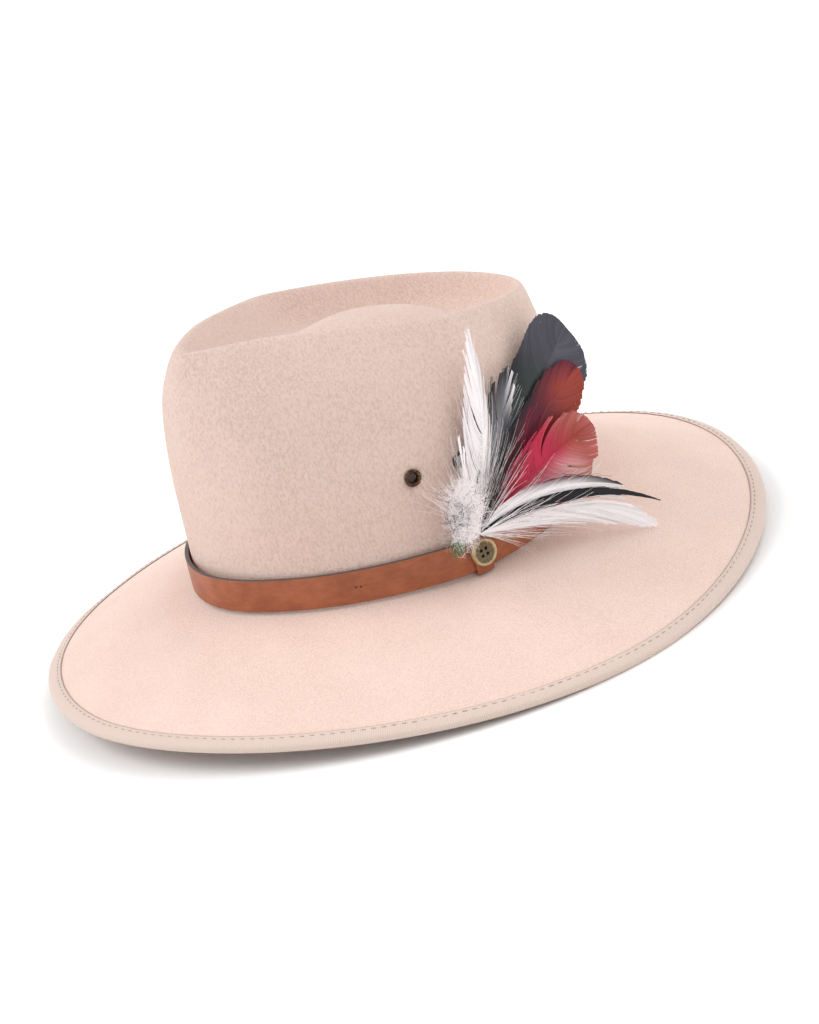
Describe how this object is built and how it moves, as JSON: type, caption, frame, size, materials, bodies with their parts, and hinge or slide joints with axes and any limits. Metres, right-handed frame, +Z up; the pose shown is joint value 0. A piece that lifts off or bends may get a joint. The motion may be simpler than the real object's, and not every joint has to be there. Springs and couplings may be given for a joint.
{
  "type": "felt fedora hat",
  "caption": "Wide-brim felt fedora with a pinched teardrop crown, bound brim edge, leather band with keeper and button, vent eyelets and a side bundle of feathers.",
  "frame": {"origin": "on the floor under the middle of the brim", "axes": "+Z up, -Y to the front of the hat, +X to the wearer's left, where the feathers are"},
  "size_m": [0.3432, 0.368, 0.1592],
  "materials": {
    "felt": "pale pink-beige brushed wool felt",
    "ribbon": "ribbed ribbon, a shade greyer than the felt, stitched near its inner edge",
    "leather": "tan smooth leather with dark cut edges",
    "button_metal": "antique brass, darker in the dish",
    "eyelet_metal": "dark antique copper-brown",
    "feather_white": "white barbs and down",
    "feather_grey": "grizzled black and white barbs",
    "feather_black": "black to slate barbs with a slight sheen",
    "feather_red": "rust red and crimson barbs"
  },
  "bodies": {
    "root": {"felt_body": "felt", "brim_binding": "ribbon", "leather_band": "leather", "keeper_loop": "leather", "button": "button_metal", "eyelet_left_front": "eyelet_metal", "eyelet_left_rear": "eyelet_metal", "eyelet_right_front": "eyelet_metal", "eyelet_right_rear": "eyelet_metal", "feather_white_tall": "feather_white", "feather_grizzled": "feather_grey", "feather_black_broad": "feather_black", "feather_red_upper": "feather_red", "feather_red_lower": "feather_red", "feather_side_white": "feather_white", "feather_side_black": "feather_black", "feather_side_upper": "feather_white", "down_tuft": "feather_white"}
  },
  "joints": []
}
